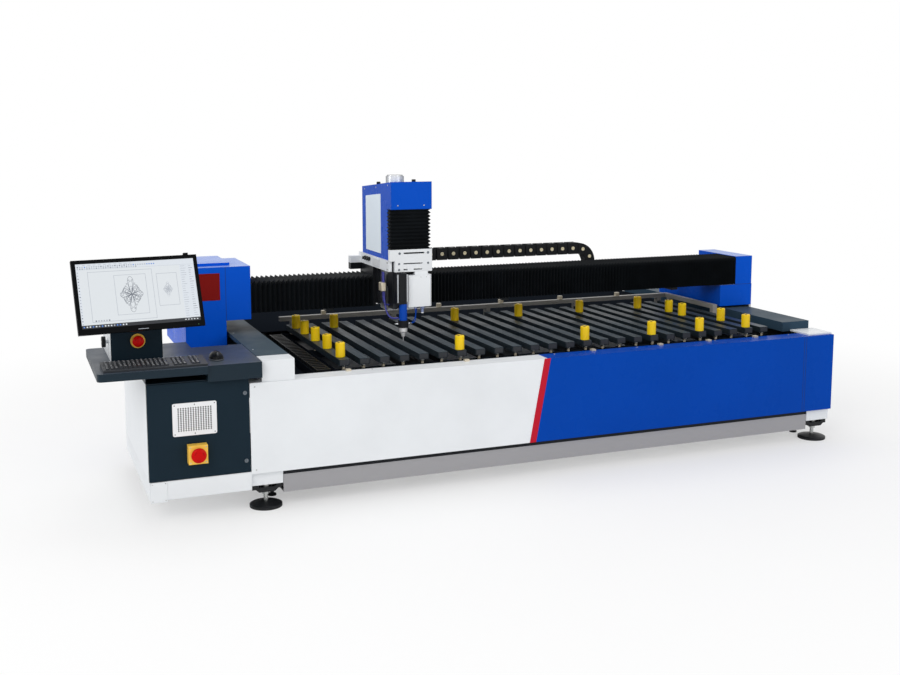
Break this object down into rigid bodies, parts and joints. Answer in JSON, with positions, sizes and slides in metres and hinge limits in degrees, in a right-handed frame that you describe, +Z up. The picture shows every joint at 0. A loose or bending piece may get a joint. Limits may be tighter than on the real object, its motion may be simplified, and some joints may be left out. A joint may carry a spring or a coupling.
{
  "type": "glass engraving machine",
  "caption": "Gantry laser machine for engraving glass: slatted table, bellows-covered beam, lifting head, and a side console with desk and monitor.",
  "frame": {"origin": "centre of the underside of the front left levelling pad, on the floor", "axes": "+X along the front panel to the right as seen by the operator, +Y from the front to the rear, +Z up"},
  "size_m": [3.9681, 2.0813, 1.481],
  "materials": {
    "bed_frame": "satin powder coat",
    "levelling_pads": "black, matt",
    "foot_studs": "zinc plated",
    "foot_blocks": "satin white",
    "front_panel_white": "satin white",
    "front_panel_blue": "glossy blue",
    "red_stripe": "red film",
    "side_panels": "satin white",
    "deck_sheets": "dark, matt",
    "rail_end_caps": "satin white",
    "rail_covers": "dark grey, satin",
    "y_guides": "ground steel",
    "slats": "anthracite, satin",
    "slat_bearers": "dark, matt",
    "table_fittings": "beige",
    "edge_bars": "light grey",
    "stops": "yellow polyurethane",
    "y_cable_chain": "black",
    "console_cabinet": "satin white",
    "console_base": "satin white",
    "desk": "anthracite, satin",
    "control_unit": "dark grey",
    "keyboard": "black",
    "mouse_body": "black",
    "mouse_wheel": "grey rubber",
    "monitor_post": "satin white",
    "post_front": "anthracite, satin",
    "upper_stop_ring": "yellow",
    "upper_stop_head": "red",
    "monitor_arm": "black",
    "monitor_housing": "black",
    "monitor_screen": "lit display",
    "cabinet_door": "anthracite, satin",
    "vent_grille": "light grey",
    "lower_stop_box": "yellow",
    "lower_stop_head": "red",
    "upper_lock": "chrome",
    "lower_lock": "chrome",
    "gantry_beam": "light grey",
    "end_box_left": "glossy blue",
    "end_box_right": "glossy blue",
    "gantry_bearings": "machined",
    "red_plate": "dark red",
    "x_guides": "ground steel",
    "bellows_left": "black coated fabric",
    "bellows_right": "black coated fabric",
    "chain_upper": "black",
    "chain_loop": "black",
    "carriage": "satin white",
    "head_cover": "glossy blue",
    "head_side_panel": "satin white",
    "head_cap": "turned",
    "z_column": "machined",
    "z_bellows": "black coated fabric",
    "z_plates": "white coat",
    "z_carrier": "black anodised",
    "laser_head": "black anodised, blue tube",
    "nozzle": "turned",
    "camera_box": "white",
    "air_hose": "violet"
  },
  "bodies": {
    "root": {"bed_frame": "bed_frame", "levelling_pads": "levelling_pads", "foot_studs": "foot_studs", "foot_blocks": "foot_blocks", "front_panel_white": "front_panel_white", "front_panel_blue": "front_panel_blue", "red_stripe": "red_stripe", "side_panels": "side_panels", "deck_sheets": "deck_sheets", "rail_end_caps": "rail_end_caps", "rail_covers": "rail_covers", "y_guides": "y_guides", "slats": "slats", "slat_bearers": "slat_bearers", "table_fittings": "table_fittings", "edge_bars": "edge_bars", "stops": "stops", "y_cable_chain": "y_cable_chain", "console_cabinet": "console_cabinet", "console_base": "console_base", "desk": "desk", "control_unit": "control_unit", "keyboard": "keyboard", "mouse_body": "mouse_body", "monitor_post": "monitor_post", "post_front": "post_front", "upper_stop_ring": "upper_stop_ring", "monitor_arm": "monitor_arm"},
    "gantry": {"gantry_beam": "gantry_beam", "end_box_left": "end_box_left", "end_box_right": "end_box_right", "gantry_bearings": "gantry_bearings", "red_plate": "red_plate", "x_guides": "x_guides", "bellows_left": "bellows_left", "bellows_right": "bellows_right"},
    "carriage": {"carriage": "carriage", "head_cover": "head_cover", "head_side_panel": "head_side_panel", "head_cap": "head_cap", "z_column": "z_column", "z_bellows": "z_bellows", "chain_upper": "chain_upper"},
    "chain_loop": {"chain_loop": "chain_loop"},
    "z_slide": {"z_plates": "z_plates", "z_carrier": "z_carrier", "laser_head": "laser_head", "nozzle": "nozzle", "camera_box": "camera_box", "air_hose": "air_hose"},
    "door": {"cabinet_door": "cabinet_door", "vent_grille": "vent_grille", "lower_stop_box": "lower_stop_box"},
    "lower_stop": {"lower_stop_head": "lower_stop_head"},
    "upper_stop": {"upper_stop_head": "upper_stop_head"},
    "upper_lock": {"upper_lock": "upper_lock"},
    "lower_lock": {"lower_lock": "lower_lock"},
    "monitor": {"monitor_housing": "monitor_housing", "monitor_screen": "monitor_screen"},
    "mouse_wheel": {"mouse_wheel": "mouse_wheel"}
  },
  "joints": [
    {"name": "gantry_y", "type": "slide", "parent": "root", "child": "gantry", "axis": [0, 1, 0], "range_m": [-0.22, 0.48]},
    {"name": "head_x", "type": "slide", "parent": "gantry", "child": "carriage", "axis": [1, 0, 0], "range_m": [-0.35, 1.75], "deforming": ["bellows_left", "bellows_right"]},
    {"name": "chain_x", "type": "slide", "parent": "carriage", "child": "chain_loop", "axis": [1, 0, 0], "range_m": [-0.88, 0.18], "deforming": ["chain_upper"]},
    {"name": "head_z", "type": "slide", "parent": "carriage", "child": "z_slide", "axis": [0, 0, 1], "range_m": [-0.006, 0.13], "deforming": ["z_bellows"]},
    {"name": "door_hinge", "type": "hinge", "parent": "root", "child": "door", "pos_m": [-0.516, -0.051, 0.4], "axis": [0, 0, -1], "range_deg": [0, 110]},
    {"name": "lower_stop_press", "type": "slide", "parent": "door", "child": "lower_stop", "axis": [0, 1, 0], "range_m": [0, 0.005], "stiffness_N_per_m": 2000, "springref_m": -0.002},
    {"name": "upper_stop_press", "type": "slide", "parent": "root", "child": "upper_stop", "axis": [0, 1, 0], "range_m": [0, 0.005], "stiffness_N_per_m": 2000, "springref_m": -0.002},
    {"name": "upper_lock_turn", "type": "hinge", "parent": "door", "child": "upper_lock", "pos_m": [-0.097, -0.051, 0.549], "axis": [0, -1, 0], "range_deg": [0, 90]},
    {"name": "lower_lock_turn", "type": "hinge", "parent": "door", "child": "lower_lock", "pos_m": [-0.097, -0.051, 0.239], "axis": [0, -1, 0], "range_deg": [0, 90]},
    {"name": "monitor_tilt", "type": "hinge", "parent": "root", "child": "monitor", "pos_m": [-0.53206, 0.09353, 0.98298], "axis": [-0.9925, -0.1219, 0], "range_deg": [-15, 8]},
    {"name": "mouse_wheel_turn", "type": "hinge", "parent": "root", "child": "mouse_wheel", "pos_m": [-0.2, 0.018, 0.714], "axis": [1, 0, 0], "continuous": true}
  ],
  "couplings": [
    {"joint": "chain_x", "follows": "head_x", "ratio": -0.5}
  ]
}
